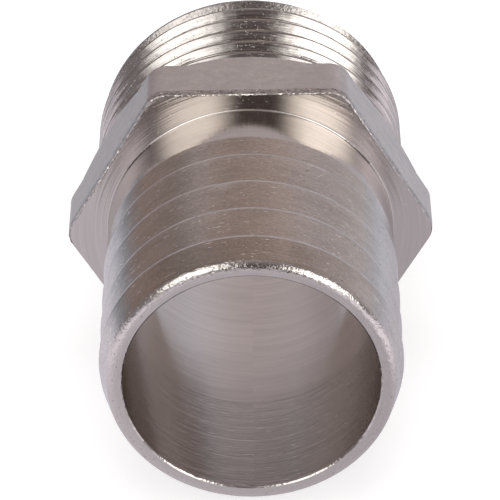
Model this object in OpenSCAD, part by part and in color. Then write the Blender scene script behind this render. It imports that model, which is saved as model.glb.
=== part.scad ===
/*
Threaded hose nipple: a barbed tail for a hose, a hexagon for a spanner and a
parallel pipe thread, with one bore right through. The body is a hot-pressed brass
blank. The tail, the hexagon's faces, the thread and the bore are turned on it, and
the hexagon keeps the rounded corners of the blank.
The nipple lies on one flat of its hexagon. Its axis runs along Y, with the hose
tail towards -Y, and the origin is on the table under its middle.
*/

/* [Bore and walls] */
// Outer diameter of the pipe thread
thread_d = 33.1; // [20:0.1:60]
// Wall between the bore and the crests of the thread
thread_wall = 3.7; // [2:0.1:6]
// Wall of the tail at the foot of its barbs
tail_wall = 1.6; // [1:0.1:3]
// Height of a barb's crest above its foot
barb_height = 0.8; // [0.4:0.1:1.5]
// Height of the plain neck above the foot of the barbs
neck_rise = 0.6; // [0.1:0.1:1.4]

/* [Hose tail] */
// Number of barbs
barbs = 4; // [1:1:8]
// Length of the first barb, from the rim to the back of its crest
first_barb = 3.75; // [2.5:0.05:8]
// Length of every other barb
barb_pitch = 5; // [3:0.1:9]
// Width of the narrow land on each crest
crest_land = 0.3; // [0.1:0.05:0.6]
// Radius of the rim's rounded outer edge
rim_round = 1; // [0.4:0.05:1.2]
// Height of that round above the foot of the barbs
rim_rise = 0.12; // [0:0.02:0.3]
// Length from the last crest to the hexagon
neck_length = 8.75; // [6:0.25:20]
// Radius in the corner between neck and hexagon
neck_fillet = 0.2; // [0.1:0.05:0.5]

/* [Hexagon] */
// Height of the flats above the thread's crests
flat_rise = 0.45; // [0.2:0.05:3]
// Thickness of the hexagon
hex_t = 6; // [3:0.5:15]
// Radius of the hexagon's six corners
hex_corner_r = 2.4; // [0.5:0.1:4]
// Height of the cone behind the hexagon above the flats
shoulder_rise = 1.1; // [0.3:0.1:1.5]
// Angle of that cone to the axis
shoulder_angle = 36; // [25:1:60]

/* [Thread] */
// Length from the hexagon to the end face
thread_length = 15.5; // [8:0.5:30]
// Length of the land turned down at the thread's start
start_length = 1.8; // [1.2:0.1:4]
// Depth of that land below the crests
start_depth = 0.35; // [0.1:0.05:0.5]
// Chamfer on the end face
end_chamfer = 0.5; // [0.2:0.1:0.6]
// Chamfer inside the bore at the thread's end
end_mouth = 0.5; // [0.2:0.05:0.9]
// Chamfer inside the bore at the rim
rim_mouth = 0.05; // [0.05:0.05:0.4]

/* [Hidden] */
$fn = 96;

thread_r = thread_d / 2;
bore_r = thread_r - thread_wall;
foot_r = bore_r + tail_wall;
crest_r = foot_r + barb_height;
neck_r = foot_r + neck_rise;
flat_r = thread_r + flat_rise;
shoulder_r = flat_r + shoulder_rise;
start_r = thread_r - start_depth;

crest_ends = [for (k = [0:barbs - 1]) first_barb + k * barb_pitch];
last_crest = crest_ends[barbs - 1];
hex_start = last_crest + neck_length;
hex_end = hex_start + hex_t;
total_length = hex_end + thread_length;
shoulder_length = (shoulder_r - thread_r) / tan(shoulder_angle);

// The ramp behind the last crest climbs as the barbs do, up to the neck
barb_slope = barb_height / (barb_pitch - crest_land);
ramp_length = neck_rise / barb_slope;

// The first barb's cone is the tangent from its crest to the rim's round
round_centre = [foot_r + rim_rise - rim_round, rim_round];
to_crest = [crest_r, first_barb - crest_land] - round_centre;
cone_angle = atan2(to_crest[0], to_crest[1]) - asin(rim_round / norm(to_crest));
cone_foot = round_centre + rim_round * [cos(cone_angle), -sin(cone_angle)];

// Cuts run this far past the faces that they open
over = 1;

// Half outline of a saw-tooth barb's back: up to the crest, along its land, down
function barb_outline(end) = [
    [crest_r, end - crest_land],
    [crest_r, end],
    [foot_r, end]
];

// Half section of everything that is turned, as if the nipple had no bore
module turned_section() {
    polygon(concat(
        [[0, 0], [round_centre[0], 0], cone_foot],
        [for (end = crest_ends) each barb_outline(end)],
        [[neck_r, last_crest + ramp_length], [neck_r, hex_start]],
        [[thread_r, hex_start], [thread_r, total_length - start_length]],
        [[start_r, total_length - start_length + start_depth]],
        [[start_r, total_length - end_chamfer], [start_r - end_chamfer, total_length]],
        [[0, total_length]]
    ));
    translate(round_centre) circle(r = rim_round);
    translate([neck_r, hex_start]) fillet_section();
}

// Concave corner between a wall along the second axis and a face across it
module fillet_section() {
    difference() {
        translate([-neck_fillet, -neck_fillet]) square(2 * neck_fillet);
        translate([neck_fillet, -neck_fillet]) circle(r = neck_fillet);
    }
}

// Hexagon with flats above and below, and its corners rounded
module hexagon_section() {
    core_r = flat_r - hex_corner_r;
    circle(r = core_r / cos(30), $fn = 6);
    for (turn = [0:60:120]) {
        rotate(turn) square([2 * core_r * tan(30), 2 * flat_r], center = true);
    }
    for (turn = [0:60:300]) {
        rotate(turn) translate([core_r / cos(30), 0]) circle(r = hex_corner_r);
    }
}

// The cone behind the hexagon, where the flats run on over it
module shoulder() {
    intersection() {
        translate([0, 0, hex_end - over]) {
            linear_extrude(over + shoulder_length) hexagon_section();
        }
        union() {
            translate([0, 0, hex_end - over]) cylinder(r = shoulder_r, h = over);
            translate([0, 0, hex_end]) {
                cylinder(r1 = shoulder_r, r2 = thread_r, h = shoulder_length);
            }
        }
    }
}

// The bore, with a small chamfer at each mouth
module bore() {
    translate([0, 0, -over]) cylinder(r = bore_r, h = total_length + 2 * over);
    translate([0, 0, -over]) {
        cylinder(r1 = bore_r + rim_mouth + over, r2 = bore_r, h = rim_mouth + over);
    }
    translate([0, 0, total_length - end_mouth]) {
        cylinder(r1 = bore_r, r2 = bore_r + end_mouth + over, h = end_mouth + over);
    }
}

// The whole nipple, standing on its rim with its axis along Z
module standing_nipple() {
    difference() {
        union() {
            rotate_extrude() turned_section();
            translate([0, 0, hex_start]) linear_extrude(hex_t) hexagon_section();
            shoulder();
        }
        bore();
    }
}

module hose_nipple() {
    color([0.72, 0.69, 0.66]) {
        translate([0, -total_length / 2, flat_r]) rotate([-90, 0, 0]) standing_nipple();
    }
}

hose_nipple();
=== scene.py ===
import math

import bmesh
import bpy
import numpy as np
from mathutils import Matrix, Vector


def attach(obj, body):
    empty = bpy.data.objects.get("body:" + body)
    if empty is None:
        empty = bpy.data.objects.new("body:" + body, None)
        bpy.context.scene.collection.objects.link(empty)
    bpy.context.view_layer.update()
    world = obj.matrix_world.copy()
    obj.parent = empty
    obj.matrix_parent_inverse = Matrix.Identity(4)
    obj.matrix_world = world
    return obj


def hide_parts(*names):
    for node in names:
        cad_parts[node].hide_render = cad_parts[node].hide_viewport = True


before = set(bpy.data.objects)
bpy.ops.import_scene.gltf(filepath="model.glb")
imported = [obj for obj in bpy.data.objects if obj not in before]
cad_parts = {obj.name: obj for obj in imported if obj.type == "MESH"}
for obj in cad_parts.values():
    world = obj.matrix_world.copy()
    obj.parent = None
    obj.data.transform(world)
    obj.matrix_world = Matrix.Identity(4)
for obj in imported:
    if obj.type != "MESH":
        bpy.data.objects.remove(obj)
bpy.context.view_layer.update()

# The nipple: one blank of hot-pressed brass, bored, turned and threaded on a lathe and
# then nickel-plated. Its section is carried round the axis in one closed sheet, from the
# far mouth of the bore to the rim, over the barbs and the hexagon, and along the thread.
MM = 0.001

# Sizes in mm: y runs along the axis from the rim, and r is the distance from the axis
AXIS_HEIGHT, LENGTH = 17.0, 49.0
BORE_R, CREST_R, THREAD_R = 12.85, 15.25, 16.55
BARB_HEIGHT, CREST_LAND, NECK_RISE = 0.8, 0.3, 0.6
FIRST_BARB, BARB_PITCH, BARBS = 3.75, 5.0, 4
NECK_LENGTH, HEX_THICKNESS = 8.75, 6.0
FOOT_R = CREST_R - BARB_HEIGHT
NECK_R = FOOT_R + NECK_RISE
CREST_ENDS = [FIRST_BARB + BARB_PITCH * k for k in range(BARBS)]
HEX_START = CREST_ENDS[-1] + NECK_LENGTH
HEX_END = HEX_START + HEX_THICKNESS
FLAT_R, CORNER_R = AXIS_HEIGHT, 2.4
SHOULDER_R, SHOULDER_SLOPE = FLAT_R + 1.1, math.tan(math.radians(36))

CORE_R = FLAT_R - CORNER_R
HALF_FLAT = math.degrees(math.atan2(CORE_R * math.tan(math.pi / 6), FLAT_R))
FLAT_COLUMNS, CORNER_COLUMNS = 46, 18


def column_angles():
    """Angles in degrees from -180 to 180, with even steps on each flat and on each corner."""
    flat = np.linspace(-HALF_FLAT, HALF_FLAT, FLAT_COLUMNS + 1)[:-1]
    corner = np.linspace(HALF_FLAT, 60 - HALF_FLAT, CORNER_COLUMNS + 1)[:-1]
    sector = np.concatenate([flat, corner])
    turns = (sector + 60 * np.arange(6)[:, None]).ravel()
    turns = np.sort((turns + 180) % 360 - 180)
    return np.append(turns, 180.0)


def hexagon_radius(degrees):
    """Distance from the axis to the hexagon: the flat's distance over the cosine of the
    angle from its middle, and on a corner the far side of a circle that touches both flats."""
    off = np.abs((degrees + 30) % 60 - 30)
    reach = CORE_R / math.cos(math.pi / 6)
    turn = np.radians(30 - off)
    beyond = np.maximum(CORNER_R**2 - (reach * np.sin(turn)) ** 2, 0)
    corner = reach * np.cos(turn) + np.sqrt(beyond)
    return np.where(off <= HALF_FLAT, FLAT_R / np.cos(np.radians(off)), corner)


def smooth(value, low, high):
    """Smooth rise from 0 at low to 1 at high: 3 t squared less 2 t cubed."""
    t = np.clip((value - low) / (high - low), 0, 1)
    return t * t * (3 - 2 * t)


def rounded_section(corners, step):
    """Points along a line of corners (y, r, radius, degrees): each corner between the two
    ends becomes an arc that touches both its sides, with a point about every so many
    degrees, and the straights between arcs are cut into pieces of about one step."""
    at = np.array([corner[:2] for corner in corners], float)
    out = [at[0]]
    for k in range(1, len(at)):
        start = out[-1]
        if k == len(at) - 1:
            arc = at[-1:]
        else:
            arc_radius, arc_step = corners[k][2:]
            back = at[k - 1] - at[k]
            ahead = at[k + 1] - at[k]
            back /= np.linalg.norm(back)
            ahead /= np.linalg.norm(ahead)
            half = math.acos(float(np.clip(back @ ahead, -1, 1))) / 2
            middle = back + ahead
            middle /= np.linalg.norm(middle)
            centre = at[k] + middle * arc_radius / math.sin(half)
            first = at[k] + back * arc_radius / math.tan(half) - centre
            last = at[k] + ahead * arc_radius / math.tan(half) - centre
            swing = math.pi - 2 * half
            side = np.sign(first[0] * last[1] - first[1] * last[0])
            pieces = max(2, round(swing / math.radians(arc_step)))
            t = np.linspace(0, swing, pieces + 1)[:, None] * side
            arc = centre + first * np.cos(t) + np.array([-first[1], first[0]]) * np.sin(t)
        pieces = max(1, round(float(np.linalg.norm(arc[0] - start)) / step))
        t = np.linspace(0, 1, pieces + 1)[1:-1, None]
        out.extend(start + (arc[0] - start) * t)
        out.extend(arc)
    return np.array(out)


angles = column_angles()
every_column = np.ones_like(angles)
hexagon = hexagon_radius(angles)
rows = []

# What finishes the strips of the sheet, in the order of the materials further down
DEEP_BORE, BORE, RIM, EDGE, TAIL, NECK, FILLET, FACE, LIP, FLATS, THREAD, LAND, END = range(13)


def add_row(y, r, finish):
    """Adds one row of the sheet. Its y and r are numbers for a true circle, or hold a value
    for each column. The finish is that of the strip from this row to the next."""
    rows.append((y * every_column, r * every_column, finish))


def add_circles(points, finish):
    """Adds a row that is a true circle for each point (y, r) of a section."""
    for y, r in points:
        add_row(y, r, finish)


def refinish(count, finish):
    """Gives the strips after the last few rows, as many as count, another finish."""
    rows[-count:] = [row[:2] + (finish,) for row in rows[-count:]]


# The bore was cut from both ends, and the two cuts meet in a fine step
CUTS_MEET, STEP, END_CHAMFER = 14.4, 0.008, 0.5
deep_r = BORE_R - STEP
deep_start, deep_end = LENGTH - END_CHAMFER, CUTS_MEET + 0.2
add_circles(rounded_section([(deep_start, deep_r), (deep_end, deep_r)], 3.0), DEEP_BORE)
add_circles([(CUTS_MEET + 0.1, deep_r), (CUTS_MEET + 0.06, deep_r)], DEEP_BORE)
add_circles([(CUTS_MEET + 0.02, BORE_R), (CUTS_MEET - 0.02, BORE_R)], BORE)
add_circles(rounded_section([(CUTS_MEET - 0.2, BORE_R), (0.5, BORE_R)], 2.4), BORE)

# The edge of its mouth is broken, and the rim is flat
MOUTH, MOUTH_ROUND = 0.14, 0.03
mouth = rounded_section([(0.4, BORE_R), (MOUTH, BORE_R, MOUTH_ROUND, 15),
                         (0, BORE_R + MOUTH, MOUTH_ROUND, 15), (0, BORE_R + 0.25)], 0.1)
add_circles(mouth[:-1], EDGE)
refinish(1, RIM)
add_row(0, BORE_R + 0.35, RIM)

# The rim's outer edge is rounded, and the first barb is the tangent from its crest to it
RIM_ROUND, RIM_RISE, BRIGHT_EDGE = 1.0, 0.12, 0.72
round_r = FOOT_R + RIM_RISE - RIM_ROUND
first_land = FIRST_BARB - CREST_LAND
to_crest = (first_land - RIM_ROUND, CREST_R - round_r)
below_line = math.asin(RIM_ROUND / math.hypot(*to_crest))
cone_slope = math.tan(math.atan2(to_crest[1], to_crest[0]) - below_line)
cone_r = CREST_R - cone_slope * first_land
on_barb = (1.2, cone_r + 1.2 * cone_slope)
outer_edge = rounded_section([(0, BORE_R + 0.55), (0, cone_r, RIM_ROUND, 5), on_barb], 0.2)
add_circles(outer_edge[outer_edge[:, 0] < BRIGHT_EDGE], EDGE)
add_circles(outer_edge[outer_edge[:, 0] >= BRIGHT_EDGE], TAIL)

# Each barb climbs to a narrow land and drops straight down. A last ramp climbs to the neck.
LAND_ROUND, BACK_ROUND, RAMP_ROUND = 0.06, 0.05, 0.25
RAMP_LENGTH, NECK_MIDDLE = 3.52, 24.0
barbs = [on_barb]
for end in CREST_ENDS:
    barbs += [(end - CREST_LAND, CREST_R, LAND_ROUND, 5), (end, CREST_R, BACK_ROUND, 30),
              (end, FOOT_R, LAND_ROUND, 30)]
barbs += [(CREST_ENDS[-1] + RAMP_LENGTH, NECK_R, RAMP_ROUND, 5), (NECK_MIDDLE, NECK_R)]
add_circles(rounded_section(barbs, 0.9)[1:], TAIL)
refinish(3, NECK)

# The neck runs into the hexagon's front face through a small round in the corner
FACE_R, NECK_FILLET = 16.2, 0.15
neck = rounded_section([(NECK_MIDDLE, NECK_R), (HEX_START, NECK_R, NECK_FILLET, 15),
                        (HEX_START, FACE_R)], 0.5)
for y, r in neck[1:]:
    in_corner = y > HEX_START - NECK_FILLET - 0.01 and r < NECK_R + NECK_FILLET - 0.01
    add_row(y, r, FILLET if in_corner else FACE if y == HEX_START else NECK)

# The face widens from a circle to the hexagon's outline. Its cut has rolled the front edge
# of the flats over a little, and more so on the corners.
FLAT_ROLL, CORNER_ROLL, ROLL_GROWS = 0.04, 0.14, (18.7, 18.95)
FRONT_DROP, BACK_EDGE = 0.07, 0.05
front = hexagon - FRONT_DROP
roll = FLAT_ROLL + (CORNER_ROLL - FLAT_ROLL) * smooth(hexagon, *ROLL_GROWS)
for t in np.linspace(0, 1, 9):
    add_row(HEX_START, FACE_R + (front - roll - FACE_R) * t, FACE)
for turn in np.linspace(0, math.pi / 2, 6)[1:]:
    add_row(HEX_START + roll * (1 - math.cos(turn)), front - roll * (1 - math.sin(turn)), LIP)
for behind, drop in ((0.22, 0.052), (0.34, 0.034), (0.5, 0.016), (0.7, 0.006)):
    add_row(HEX_START + behind, hexagon - drop, LIP)
for y in (HEX_START + 0.9, *np.linspace(HEX_START + 1.5, HEX_END - BACK_EDGE, 5)):
    add_row(y, hexagon, FLATS)


def shoulder_cone(y):
    """Radius of the cone behind the hexagon, which falls evenly from SHOULDER_R."""
    return SHOULDER_R - (y - HEX_END) * SHOULDER_SLOPE


# The cone is turned on the blank, and each flat runs out over it in an arc
THREAD_START = 35.1
on_cone = np.minimum(hexagon, SHOULDER_R)
add_row(HEX_END, hexagon - BACK_EDGE * (hexagon > SHOULDER_R), FLATS)
add_row(HEX_END, on_cone, FLATS)
crease = HEX_END + (SHOULDER_R - on_cone) / SHOULDER_SLOPE
for t in (0.25, 0.5, 0.75, 0.97):
    add_row(HEX_END + (crease - HEX_END) * t, on_cone, FLATS)
add_row(crease, on_cone, NECK)
for t in (0.03, 0.35, 0.7, 1.0):
    y = crease + (THREAD_START - crease) * t
    add_row(y, np.minimum(on_cone, shoulder_cone(y)), NECK)
refinish(1, THREAD)

# The thread climbs to the right by one pitch a turn. Its rows follow the helix and stop at
# the cone in front and at the end face behind. Its start is turned down to a plain land,
# and a chamfer cuts the last crests.
PITCH, THREAD_DEPTH = 2.309, 1.4785
CREST_ARC, ROOT_ARC, FLANK = 0.185, 0.449, math.radians(27.5)
RUN_OUT_END, FIRST_CREST = 35.65, 36.85
TURNS, LEAD_TURNS = 9, 2
START_R, START_LAND = THREAD_R - 0.35, LENGTH - 1.8


def thread_drop(along):
    """How far the thread lies below its crests, for a distance along the axis from a crest:
    an arc of CREST_ARC on the crest and one of ROOT_ARC in the root, joined by straight
    flanks that lean by FLANK."""
    u = np.abs((along + PITCH / 2) % PITCH - PITCH / 2)
    crest_end, root_end = CREST_ARC * math.cos(FLANK), ROOT_ARC * math.cos(FLANK)
    crest = CREST_ARC - np.sqrt(np.maximum(CREST_ARC**2 - np.minimum(u, crest_end) ** 2, 0))
    near_root = np.minimum(PITCH / 2 - u, root_end)
    root = THREAD_DEPTH - ROOT_ARC + np.sqrt(np.maximum(ROOT_ARC**2 - near_root**2, 0))
    flank = CREST_ARC * (1 - math.sin(FLANK)) + (u - crest_end) / math.tan(FLANK)
    return np.where(u < crest_end, crest, np.where(u > PITCH / 2 - root_end, root, flank))


arc = np.sin(np.radians([-62.5, -31, 0, 31, 62.5]))
one_turn = [*(CREST_ARC * arc), PITCH / 4, *(PITCH / 2 + ROOT_ARC * arc), PITCH * 3 / 4]
climb = PITCH * angles / 360
for turn in range(-LEAD_TURNS, TURNS - LEAD_TURNS):
    for offset in one_turn:
        y = np.clip(FIRST_CREST + PITCH * turn + offset + climb, THREAD_START, LENGTH)
        cut = smooth(y, THREAD_START, RUN_OUT_END)
        crests = THREAD_R + (shoulder_cone(THREAD_START) - THREAD_R) * (1 - cut)
        r = crests - cut * thread_drop(y - climb - FIRST_CREST)
        r = np.minimum(r, np.maximum(THREAD_R, shoulder_cone(y)))
        land = np.clip(THREAD_R - (y - START_LAND), START_R, THREAD_R)
        chamfer = START_R - (y - (LENGTH - END_CHAMFER))
        add_row(y, np.minimum(r, np.minimum(land, chamfer)), THREAD)
refinish(1, END)

# The end face is a flat ring, and a small chamfer opens the bore's far mouth
add_circles([(LENGTH, BORE_R + 1.75), (LENGTH, BORE_R + 0.65), (LENGTH, BORE_R + 0.53),
             (LENGTH - 0.02, BORE_R + 0.5), (LENGTH - 0.47, BORE_R + 0.02)], END)
refinish(1, DEEP_BORE)

along, radius, finish = [np.array(part) for part in zip(*rows)]

# Handling has flattened the third crest in one place and nicked the others. Each mark is
# (y, degrees from the top, half its width round the crest, depth).
MARK_LENGTH = 0.35
turn_mm = np.radians(angles)[None, :] * radius
for y, degrees, wide, deep in ((13.6, -10.0, 1.1, 0.10), (18.62, -17.5, 0.35, 0.05),
                               (8.62, -13.0, 0.3, 0.05), (8.6, -8.5, 0.2, 0.04),
                               (18.6, 12.0, 0.25, 0.03), (3.6, 24.0, 0.25, 0.04)):
    off_middle = turn_mm - math.radians(degrees) * CREST_R
    near = ((along - y) / MARK_LENGTH) ** 2 + (off_middle / wide) ** 2
    radius = radius - deep * np.exp(-near) * (finish[:, None] == TAIL)


def round_the_axis(degrees, y, r):
    """Points in metres, from the angle past the top, the place along the axis and the
    distance from it, each a grid or a row or column of one."""
    turns = np.radians(degrees)
    return np.stack([r * np.sin(turns), y - LENGTH / 2, AXIS_HEIGHT + r * np.cos(turns)], 2) * MM


def quads(corners, width):
    """Faces in a grid that is width points wide, from their four corners (row, column)."""
    return np.stack([row * width + column for row, column in corners], 2).reshape(-1, 4)


def face_outwards(mesh, merge_distance=None):
    """Merges points that lie together, where asked, and turns every face outwards."""
    work = bmesh.new()
    work.from_mesh(mesh)
    if merge_distance:
        bmesh.ops.remove_doubles(work, verts=work.verts, dist=merge_distance)
    bmesh.ops.recalc_face_normals(work, faces=work.faces)
    work.to_mesh(mesh)
    work.free()


def add_object(name, data):
    """Puts a mesh, a lamp or a camera into the scene and returns its object."""
    made = bpy.data.objects.new(name, data)
    bpy.context.scene.collection.objects.link(made)
    return made


row_count, column_count = along.shape
below = np.arange(row_count)[:, None]
above = (below + 1) % row_count
left = np.arange(column_count - 1)[None, :]
mesh = bpy.data.meshes.new("hose_nipple_body")
mesh.from_pydata(round_the_axis(angles[None, :], along, radius).reshape(-1, 3), [],
                 quads([(below, left), (below, left + 1), (above, left + 1), (above, left)],
                       column_count))

# The land at the thread's start has its own finish. The corner round the neck carries a painted
# highlight on top only: on both sides it takes the land's darker colour as painted shade, and
# below those the rim's dull finish.
CORNER_SHADE_FROM, CORNER_DULL = 42, 57
from_top = np.abs(angles[None, 1:])
of_face = np.where((finish[:, None] == THREAD) & (along[:, 1:] > START_LAND), LAND, finish[:, None])
of_corner = of_face == FILLET
of_face = np.where(of_corner & (from_top > CORNER_SHADE_FROM), LAND, of_face)
of_face = np.where(of_corner & (from_top > CORNER_DULL), RIM, of_face)
mesh.polygons.foreach_set("material_index", of_face.ravel().astype(np.int32))

# The map "turning" follows the marks that tools leave: the first coordinate goes once round
# the axis, and the second counts SHEET_MM along the section, or out from the axis on the face
SHEET_MM, LAST_STRIP = 100, 3
steps = np.hypot(np.diff(along.mean(1)), np.diff(radius.mean(1)))
lengths = np.concatenate([[0], np.cumsum(steps)])
lengths = np.append(lengths, lengths[-1] + LAST_STRIP)
across = np.broadcast_to(angles / 360, (row_count, column_count))
on_face = (finish == FACE)[:, None]
near = np.where(on_face, radius, lengths[:-1, None])
far = np.where(on_face, radius[above[:, 0]], lengths[1:, None])
uv = np.stack([
    np.stack([across[:, :-1], across[:, 1:], across[:, 1:], across[:, :-1]], 2),
    np.stack([near[:, :-1], near[:, 1:], far[:, 1:], far[:, :-1]], 2) / SHEET_MM], 3)
mesh.uv_layers.new(name="turning").data.foreach_set("uv", uv.reshape(-1))
face_outwards(mesh, merge_distance=1e-6)
mesh.shade_smooth()
mesh.set_sharp_from_angle(angle=math.radians(40))
nipple = add_object("nipple_body", mesh)


# Its finishes: nickel plate of one colour, over marks that differ from place to place, scaled
# lighter or darker for each finish as painted light and shade. Tools left rings on everything
# that was turned or bored, the press left the flats matt, and the rim's edges are uneven and
# bright.
NICKEL = (0.52, 0.475, 0.44)
TURN_MM = 95


def node(tree, kind, inputs=None, **settings):
    """Adds one shader node. Inputs are values, or the sockets of other nodes that feed them."""
    made = tree.nodes.new(kind)
    for name, value in settings.items():
        setattr(made, name, value)
    for key, value in (inputs or {}).items():
        if isinstance(value, bpy.types.NodeSocket):
            tree.links.new(value, made.inputs[key])
        else:
            made.inputs[key].default_value = value
    return made


def empty_tree(owner):
    """Gives a material or a world nodes of its own, with none in them yet."""
    owner.use_nodes = True
    owner.node_tree.nodes.clear()
    return owner.node_tree


def calc(tree, operation, *values):
    """Adds one maths node and returns its result."""
    return node(tree, "ShaderNodeMath", dict(enumerate(values)), operation=operation).outputs[0]


def ramp(tree, value, low, high, bottom=0.0, top=1.0, kind="LINEAR"):
    """Goes evenly from bottom to top as value goes from low to high, and no further."""
    ends = {"Value": value, "From Min": low, "From Max": high, "To Min": bottom, "To Max": top}
    return node(tree, "ShaderNodeMapRange", ends, interpolation_type=kind).outputs[0]


def soft_ramp(tree, value, low, high, bottom=0.0, top=1.0):
    """Goes from bottom to top as value goes from low to high, with a soft start and end."""
    return ramp(tree, value, low, high, bottom, top, "SMOOTHSTEP")


def plated(name, roughness, stretch, marks, shade=1.0, fade=None):
    """Nickel plate over metal with marks from tools and handling. Each mark is a layer of
    noise (length round the axis in mm, width in mm, low, high, height in mm, tone): where the
    noise passes from low to high the surface rises by the height and its colour changes by
    the tone, up and down alike if low is under 0.5. Stretch draws highlights out across the
    rings that a tool leaves. Shade scales the whole colour: painted light above 1 and painted
    shade below it. Fade (start, end, share) takes the colour down to that share between two
    places along the section, in mm from the start of the sheet, as painted shade."""
    material = bpy.data.materials.new(name)
    tree = empty_tree(material)
    sheet = node(tree, "ShaderNodeUVMap", uv_map="turning").outputs[0]
    height, tone = 0.0, shade
    for count, (length, width, low, high, rise_mm, change) in enumerate(marks):
        space = node(tree, "ShaderNodeMapping", {
            "Vector": sheet, "Location": (0.37 * count, 0.61 * count, 3.1 * count),
            "Scale": (TURN_MM / length, SHEET_MM / width, 1)})
        noise = node(tree, "ShaderNodeTexNoise", {
            "Vector": space.outputs[0], "Scale": 1.0, "Detail": 2.0, "Roughness": 0.6})
        mask = soft_ramp(tree, noise.outputs[0], low, high)
        height = calc(tree, "MULTIPLY_ADD", mask, rise_mm * MM, height)
        level = 1.0 - 0.5 * change if low < 0.5 else 1.0
        tone = calc(tree, "MULTIPLY", tone, calc(tree, "MULTIPLY_ADD", mask, change, level))
    if fade:
        start, end, share = fade
        run = node(tree, "ShaderNodeSeparateXYZ", {0: sheet}).outputs[1]
        faded = ramp(tree, run, start / SHEET_MM, end / SHEET_MM, 1.0, share)
        tone = calc(tree, "MULTIPLY", tone, faded)
    colour = node(tree, "ShaderNodeVectorMath", {0: NICKEL, "Scale": tone}, operation="SCALE")
    bump = node(tree, "ShaderNodeBump", {"Height": height, "Strength": 1.0, "Distance": 1.0})
    tangent = node(tree, "ShaderNodeTangent", direction_type="UV_MAP", uv_map="turning")
    shader = node(tree, "ShaderNodeBsdfPrincipled", {
        "Base Color": colour.outputs[0], "Metallic": 1.0, "Roughness": roughness,
        "Anisotropic": stretch, "Anisotropic Rotation": 0.25, "Normal": bump.outputs[0],
        "Tangent": tangent.outputs[0]})
    node(tree, "ShaderNodeOutputMaterial", {"Surface": shader.outputs[0]})
    return material


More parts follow.
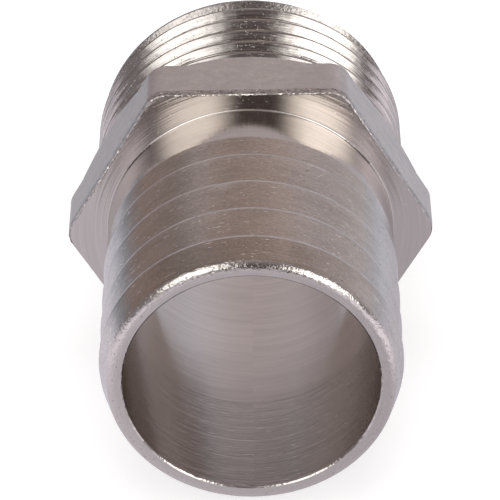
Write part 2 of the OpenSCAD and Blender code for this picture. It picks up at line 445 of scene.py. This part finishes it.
finishes = [
    # DEEP_BORE: long faint rings, a slow change of tone and a few dark pits; painted light
    # lifts it overall, and painted shade darkens it towards the step where the cuts meet
    plated("deep_bored_nickel", 0.20, 0.8, [
        (30, 0.5, 0.3, 0.7, 0.002, 0.06), (9, 0.16, 0.35, 0.75, 0.0015, 0.06),
        (14, 1.5, 0.3, 0.7, 0.0, 0.06), (0.25, 0.25, 0.75, 0.8, -0.02, -0.5)],
        shade=1.10, fade=(24, 34, 0.85)),
    # BORE: short coarse rings, then long and short scratches painted bright as glints, on a
    # colour darkened overall as painted shade
    plated("bored_nickel", 0.20, 0.8, [
        (7, 0.13, 0.35, 0.7, 0.003, 0.20), (3, 0.10, 0.5, 0.7, 0.004, 0.22),
        (20, 0.5, 0.3, 0.7, 0.003, 0.08), (30, 0.10, 0.62, 0.70, 0.004, 0.6),
        (2.0, 0.12, 0.62, 0.70, 0.010, 0.6)], shade=0.86),
    # RIM: fine grain and a soft change of tone
    plated("rim_nickel", 0.33, 0.0, [
        (0.3, 0.25, 0.3, 0.7, 0.003, 0.06), (3.0, 0.8, 0.3, 0.7, 0.0, 0.10)]),
    # EDGE: small and larger unevenness, then dark flecks of painted shade and bright flecks of
    # painted glint
    plated("edge_nickel", 0.08, 0.0, [
        (0.4, 0.20, 0.3, 0.7, 0.008, 0.0), (0.7, 0.4, 0.3, 0.7, 0.018, 0.0),
        (0.4, 0.25, 0.62, 0.70, -0.01, -0.3), (0.3, 0.2, 0.68, 0.74, 0.02, 0.3)]),
    # TAIL: rings, grain, scratches, stains, specks, pits and short nicks; the scratches, specks
    # and nicks are painted bright as glints, and the pits are dark
    plated("tail_nickel", 0.22, 0.8, [
        (12, 0.3, 0.3, 0.7, 0.0008, 0.05), (3, 0.12, 0.3, 0.7, 0.0012, 0.08),
        (0.4, 0.18, 0.3, 0.7, 0.004, 0.16), (1.3, 0.10, 0.69, 0.74, 0.012, 0.7),
        (4, 1.5, 0.4, 0.7, 0.0, -0.10), (0.2, 0.16, 0.72, 0.77, 0.016, 0.9),
        (0.35, 0.25, 0.68, 0.73, -0.022, -0.5), (0.12, 0.8, 0.72, 0.77, -0.010, 0.4)]),
    # NECK, and the cone behind the hexagon: fine bright rings and a few scratches painted
    # bright as glints
    plated("neck_nickel", 0.13, 0.9, [
        (16, 0.4, 0.3, 0.7, 0.0008, 0.06), (6, 0.12, 0.3, 0.7, 0.001, 0.12),
        (0.6, 0.12, 0.70, 0.76, 0.008, 0.4)]),
    # FILLET: a painted highlight, its colour raised to make a bright line, with little grain
    plated("fillet_nickel", 0.22, 0.0, [(2.0, 0.3, 0.3, 0.7, 0.001, 0.1)], shade=1.3),
    # FACE: deeper rings than on the neck, which draw its highlights out, and scratches painted
    # bright as glints
    plated("face_nickel", 0.13, 0.9, [
        (20, 0.5, 0.3, 0.7, 0.009, 0.05), (9, 0.2, 0.35, 0.75, 0.005, 0.06),
        (0.5, 0.12, 0.70, 0.76, 0.008, 0.4)]),
    # LIP: torn metal, darker overall, with painted shade in its hollows and painted highlights
    # on its tips
    plated("lip_nickel", 0.35, 0.0, [
        (0.25, 0.25, 0.3, 0.7, 0.02, 0.25), (0.35, 0.3, 0.52, 0.62, -0.02, -0.5),
        (0.25, 0.25, 0.62, 0.68, 0.03, 0.9), (1.5, 0.6, 0.35, 0.65, 0.0, 0.25)], shade=0.88),
    # FLATS: the matt grain of the press, clouds of tone and a few specks painted bright as
    # glints, on a colour lifted overall as painted light
    plated("pressed_nickel", 0.40, 0.0, [
        (0.25, 0.25, 0.3, 0.7, 0.005, 0.10), (0.9, 0.7, 0.3, 0.7, 0.003, 0.10),
        (3.5, 2.0, 0.3, 0.7, 0.0, 0.08), (0.25, 0.2, 0.70, 0.76, 0.016, 0.7)], shade=1.07),
    # THREAD: strong rings, waves in the cut, specks and scratches painted bright as glints, on a
    # colour darkened overall as painted shade
    plated("thread_nickel", 0.11, 0.9, [
        (10, 0.25, 0.3, 0.7, 0.003, 0.28), (3, 0.12, 0.3, 0.7, 0.004, 0.24),
        (6, 0.14, 0.35, 0.65, 0.004, 0.24), (2.5, 3, 0.3, 0.7, 0.010, 0.0),
        (0.25, 0.2, 0.66, 0.72, 0.03, 0.7), (1.2, 0.12, 0.68, 0.74, 0.006, 0.3)], shade=0.91),
    # LAND: dull and uneven, its colour darkened as painted shade, with nicks painted bright as
    # glints
    plated("land_nickel", 0.18, 0.0, [
        (0.4, 0.3, 0.3, 0.7, 0.012, 0.25), (2.0, 0.5, 0.3, 0.7, 0.006, 0.2),
        (0.2, 0.16, 0.64, 0.70, 0.02, 0.8)], shade=0.68),
    # END: the rings of a plain facing cut
    plated("end_nickel", 0.30, 0.5, [(14, 0.3, 0.3, 0.7, 0.002, 0.10)]),
]
for material in finishes:
    mesh.materials.append(material)
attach(nipple, "root")
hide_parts("hose_nipple")


# The burr: turning the hexagon's front face dragged a thin ragged lip of metal over the
# edge of the pressed flats. It is a bead of uneven thickness that lies along that edge.
BURR_COLUMNS, BURR_SIDES = 1500, 6
BURR_THIN, BURR_SWELL = 0.04, 0.22
BURR_BACK, BURR_IN, SIDE_UV = 0.01, 0.09, 0.001


def ragged(count, coarse, seed):
    """Uneven values from 0 to 1 round a closed ring: as many random heights as coarse says,
    joined by straight lines."""
    heights = np.random.default_rng(seed).random(coarse)
    at = np.arange(count) * coarse / count
    whole = at.astype(int)
    part = at - whole
    return heights[whole % coarse] * (1 - part) + heights[(whole + 1) % coarse] * part


# Fine teeth stand on slower swells. The bead is thin on the lower half of the hexagon and on
# its upper right flat.
teeth, swells = ragged(BURR_COLUMNS, 480, 3), ragged(BURR_COLUMNS, 90, 5)
round_axis = np.linspace(-180, 180, BURR_COLUMNS, endpoint=False)[:, None]
thick = (BURR_THIN + BURR_SWELL * teeth**1.6 * (0.4 + 0.6 * swells))[:, None]
thick = thick * (1 - 0.8 * smooth(np.abs(round_axis), 80, 100))
thick = thick * (1 - 0.7 * smooth(round_axis, 40, 52))
side = np.linspace(0, 2 * math.pi, BURR_SIDES, endpoint=False)[None, :]
lip = hexagon_radius(round_axis)
burr_y = HEX_START + BURR_BACK + thick * np.cos(side)
burr_r = np.minimum(lip - BURR_IN + thick * np.sin(side), lip)
here = np.arange(BURR_COLUMNS)[:, None]
there = (here + 1) % BURR_COLUMNS
first = np.arange(BURR_SIDES)[None, :]
second = (first + 1) % BURR_SIDES
burr_mesh = bpy.data.meshes.new("hexagon_burr_body")
burr_mesh.from_pydata(round_the_axis(round_axis, burr_y, burr_r).reshape(-1, 3), [],
                      quads([(here, first), (there, first), (there, second), (here, second)],
                            BURR_SIDES))
face_outwards(burr_mesh)
uv = np.stack([
    np.stack(np.broadcast_arrays((here + ahead) / BURR_COLUMNS, (first + up) * SIDE_UV), 2)
    for ahead, up in ((0, 0), (1, 0), (1, 1), (0, 1))], 2)
burr_mesh.uv_layers.new(name="turning").data.foreach_set("uv", uv.reshape(-1))
# The bead's colour swings lighter and darker in patches along it, as painted highlight and painted
# shade.
burr_mesh.materials.append(plated("burr_nickel", 0.28, 0.0, [(0.4, 0.3, 0.42, 0.56, 0.0, -0.75)]))
burr = add_object("hexagon_burr", burr_mesh)
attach(burr, "root")


# The table: a pale matt sheet that the nipple lies on, one flat of its hexagon down. It is
# held near white for the eye, shows the metal a glowing image of painted light and shade, and
# keeps the nipple's soft shadow.
TABLE_HALF = 1.5
table_mesh = bpy.data.meshes.new("table")
table_mesh.from_pydata([(-TABLE_HALF, -TABLE_HALF, 0), (TABLE_HALF, -TABLE_HALF, 0),
                        (TABLE_HALF, TABLE_HALF, 0), (-TABLE_HALF, TABLE_HALF, 0)],
                       [], [(0, 1, 2, 3)])
table = add_object("table", table_mesh)
table_paint = bpy.data.materials.new("table_sheet")
tree = empty_tree(table_paint)


def product(tree, *values):
    """All the values multiplied together."""
    result = values[0]
    for value in values[1:]:
        result = calc(tree, "MULTIPLY", result, value)
    return result


def blend(tree, share, first, second):
    """The first colour where the share is 0, and the second where it is 1."""
    colours = {"Factor": share, 6: first, 7: second}
    return node(tree, "ShaderNodeMix", colours, data_type="RGBA").outputs[2]


# What the metal mirrors of the table is not what the camera sees of it: these patches were
# fitted to the reflections in the photograph. Each adds its strength where all its ramps
# (direction, from, to) are up, in metres from the middle: x to the right, y to the back and
# out to either side.
coordinates = node(tree, "ShaderNodeTexCoord")
x, y, _ = node(tree, "ShaderNodeSeparateXYZ", {0: coordinates.outputs["Object"]}).outputs
out = calc(tree, "ABSOLUTE", x)
patches = [
    (-0.50, (x, -0.09, -0.14), (y, -0.03, 0.02)),
    (0.30, (out, 0.02, 0.07), (out, 0.18, 0.12), (y, 0.04, -0.01)),
    (0.21, (out, 0.02, 0.07), (out, 0.18, 0.12), (y, 0.04, -0.01), (y, -0.02, -0.08)),
    (0.14, (out, 0.02, 0.06), (y, 0.12, 0.0)),
    (0.22, (x, 0.02, -0.02), (x, -0.12, -0.06)),
    (0.40, (x, 0.033, 0.05), (y, -0.02, -0.045)),
    (0.08, (y, -0.06, -0.095), (out, 0.06, 0.03)),
    (0.08, (out, 0.15, 0.20)),
    (0.24, (x, 0.03, 0.05), (x, 0.18, 0.12), (y, 0.02, 0.05)),
    (-0.85, (y, -0.15, -0.24), (out, 0.25, 0.1)),
]
strength = 0.92
for change, *ramps in patches:
    share = product(tree, *[ramp(tree, *ends) for ends in ramps])
    strength = calc(tree, "MULTIPLY_ADD", share, change, strength)
cool = product(tree, ramp(tree, out, 0.02, 0.05), ramp(tree, y, 0.0, 0.05))
tint = blend(tree, cool, (0.74, 0.72, 0.81, 1), (0.64, 0.67, 0.77, 1))
image = node(tree, "ShaderNodeEmission", {"Color": tint, "Strength": strength})

path = node(tree, "ShaderNodeLightPath").outputs
matt = node(tree, "ShaderNodeBsdfDiffuse", {"Color": (0.8, 0.8, 0.8, 1)})
glow = node(tree, "ShaderNodeEmission", {
    "Color": (1, 1, 1, 1), "Strength": calc(tree, "MULTIPLY", path["Is Camera Ray"], 0.5)})
seen = node(tree, "ShaderNodeAddShader", {0: matt.outputs[0], 1: glow.outputs[0]})
mirrored = calc(tree, "MAXIMUM", path["Is Glossy Ray"], path["Is Transmission Ray"])
paper = node(tree, "ShaderNodeMixShader", {0: mirrored, 1: seen.outputs[0], 2: image.outputs[0]})
node(tree, "ShaderNodeOutputMaterial", {"Surface": paper.outputs[0]})
table_mesh.materials.append(table_paint)


# The studio round it: a pale wall behind the nipple that turns brown overhead and to the
# left, and two soft windows of light over the front with a dark gap between them.
world = bpy.data.worlds.new("studio")
bpy.context.scene.world = world
tree = empty_tree(world)


def angle(tree, across, along):
    """Angle in degrees of a direction whose parts are across and along."""
    return calc(tree, "DEGREES", calc(tree, "ARCTAN2", across, along))


def stops(tree, value, low, high, colours):
    """A colour that changes evenly between stops (value, colour) laid over low to high."""
    colour_ramp = node(tree, "ShaderNodeValToRGB", {"Fac": ramp(tree, value, low, high)})
    band = colour_ramp.color_ramp
    while len(band.elements) < len(colours):
        band.elements.new(0.5)
    for element, (at, colour) in zip(band.elements, colours):
        element.position = (at - low) / (high - low)
        element.color = (*colour, 1)
    return colour_ramp.outputs[0]


# A direction's parts, and its angles in degrees: height over the table, azimuth from the
# camera's side, turn from straight behind, and lean from overhead in a view along the bore
coordinates = node(tree, "ShaderNodeTexCoord")
x, y, z = node(tree, "ShaderNodeSeparateXYZ", {0: coordinates.outputs["Generated"]}).outputs
height = calc(tree, "DEGREES", calc(tree, "ARCSINE", z))
azimuth = angle(tree, x, calc(tree, "MULTIPLY", y, -1.0))
turn = angle(tree, x, y)
lean = angle(tree, x, calc(tree, "MAXIMUM", z, 0.4))

# The walls, each in bands of colour by height, fitted to what the photographed metal mirrors
DIM_FRONT = (0.30, 0.28, 0.30, 1)
left_behind = stops(tree, height, -10, 90, [
    (-10, (0.47, 0.42, 0.46)), (10, (0.56, 0.51, 0.55)), (25, (0.62, 0.57, 0.60)),
    (36, (0.62, 0.57, 0.60)), (44, (0.47, 0.38, 0.35)), (51, (0.35, 0.27, 0.24)),
    (62, (0.30, 0.23, 0.19)), (70, (0.30, 0.23, 0.19)), (90, (0.42, 0.38, 0.36))])
right_behind = stops(tree, height, -10, 90, [
    (-10, (0.61, 0.59, 0.64)), (5, (0.71, 0.70, 0.78)), (15, (0.76, 0.77, 0.88)),
    (26, (0.75, 0.72, 0.79)), (36, (0.72, 0.67, 0.70)), (44, (0.54, 0.45, 0.43)),
    (53, (0.56, 0.46, 0.42)), (62, (0.36, 0.27, 0.23)), (90, (0.42, 0.38, 0.36))])
behind = blend(tree, ramp(tree, turn, -30, 30), left_behind, right_behind)
on_right = stops(tree, height, -10, 90, [
    (-10, (0.74, 0.71, 0.76)), (5, (0.69, 0.65, 0.67)), (15, (0.59, 0.55, 0.56)),
    (35, (0.47, 0.40, 0.40)), (48, (0.36, 0.29, 0.26)), (90, (0.38, 0.34, 0.33))])
front_right = blend(tree, soft_ramp(tree, azimuth, 90, 65), (0.56, 0.53, 0.57, 1), DIM_FRONT)
on_right = blend(tree, soft_ramp(tree, azimuth, 110, 90), on_right, front_right)
on_left = stops(tree, height, 0, 90, [
    (0, (0.35, 0.27, 0.25)), (14, (0.33, 0.26, 0.24)), (30, (0.24, 0.19, 0.17)),
    (90, (0.30, 0.26, 0.25))])
on_left = blend(tree, soft_ramp(tree, azimuth, -115, -85), on_left, DIM_FRONT)
gap = stops(tree, height, 0, 90, [
    (0, (0.13, 0.11, 0.11)), (25, (0.13, 0.11, 0.11)), (36, (0.15, 0.13, 0.14)),
    (46, (0.25, 0.23, 0.23)), (62, (0.34, 0.31, 0.32)), (90, (0.51, 0.49, 0.50))])
in_gap = product(tree, soft_ramp(tree, lean, -35, -10), soft_ramp(tree, lean, 45, 35),
                 soft_ramp(tree, calc(tree, "ABSOLUTE", azimuth), 100, 80))
walls = blend(tree, soft_ramp(tree, turn, 33, 44), behind, on_right)
walls = blend(tree, soft_ramp(tree, turn, -33, -42), walls, on_left)
walls = blend(tree, in_gap, walls, gap)

# The windows: each opens to its side of the gap, over a sill that slopes with the azimuth,
# and grows brighter towards the camera
sill_left = calc(tree, "MAXIMUM", 8.5, calc(tree, "MULTIPLY_ADD", azimuth, -0.72, -14.0))
over_left = calc(tree, "SUBTRACT", height, sill_left)
left_window = product(tree, soft_ramp(tree, lean, -5, -35), soft_ramp(tree, over_left, -9, 9),
                      soft_ramp(tree, y, -0.12, -0.40, 0.0, 2.35))
sill_right = calc(tree, "MAXIMUM", calc(tree, "MULTIPLY_ADD", azimuth, -0.4, 14.3),
                  calc(tree, "MULTIPLY_ADD", azimuth, 0.55, -16.0))
over_right = calc(tree, "SUBTRACT", height, sill_right)
right_window = product(tree, soft_ramp(tree, lean, 20, 50), soft_ramp(tree, over_right, -10, 10),
                       soft_ramp(tree, y, -0.30, -0.55, 0.0, 3.5))
plain = node(tree, "ShaderNodeBackground", {"Color": walls})
windows = node(tree, "ShaderNodeBackground", {
    "Color": (0.98, 1, 1, 1), "Strength": calc(tree, "ADD", left_window, right_window)})
light = node(tree, "ShaderNodeAddShader", {0: plain.outputs[0], 1: windows.outputs[0]})
node(tree, "ShaderNodeOutputWorld", {"Surface": light.outputs[0]})

# A soft round lamp overhead, which lights the table and stays out of the metal's mirror
lamp = bpy.data.lights.new("overhead_soft_light", "AREA")
lamp.shape = "DISK"
lamp.size = 0.8
lamp.energy = 3
overhead = add_object("overhead_soft_light", lamp)
overhead.location = (0.0, 0.0, 1.2)
overhead.visible_glossy = False


# The camera: a long lens at the photograph's angle, 0.34 m from the middle of the rim, which
# lies at rim_px from the middle of the frame, to the right and down.
elevation, swing, tilt = math.radians(33.60), math.radians(-0.509), math.radians(-1.274)
focal_px, frame_px, sensor_mm, distance = 3424.97, 500, 36, 0.3393
rim_px = (1.618, 134.20)
rim = Vector((0, -LENGTH / 2, AXIS_HEIGHT)) * MM
ahead = Vector((math.sin(swing) * math.cos(elevation), math.cos(swing) * math.cos(elevation),
                -math.sin(elevation)))
level = ahead.cross(Vector((0, 0, 1))).normalized()
upright = level.cross(ahead)
right = level * math.cos(tilt) + upright * math.sin(tilt)
up = upright * math.cos(tilt) - level * math.sin(tilt)
place = rim - distance * (ahead + right * rim_px[0] / focal_px - up * rim_px[1] / focal_px)
lens = bpy.data.cameras.new("photo_camera")
lens.sensor_width = sensor_mm
lens.lens = sensor_mm * focal_px / frame_px
lens.clip_start = 0.01
camera = add_object("photo_camera", lens)
camera.matrix_world = Matrix((
    (right.x, up.x, -ahead.x, place.x), (right.y, up.y, -ahead.y, place.y),
    (right.z, up.z, -ahead.z, place.z), (0, 0, 0, 1)))
bpy.context.scene.camera = camera
bpy.context.scene.view_settings.view_transform = "Standard"
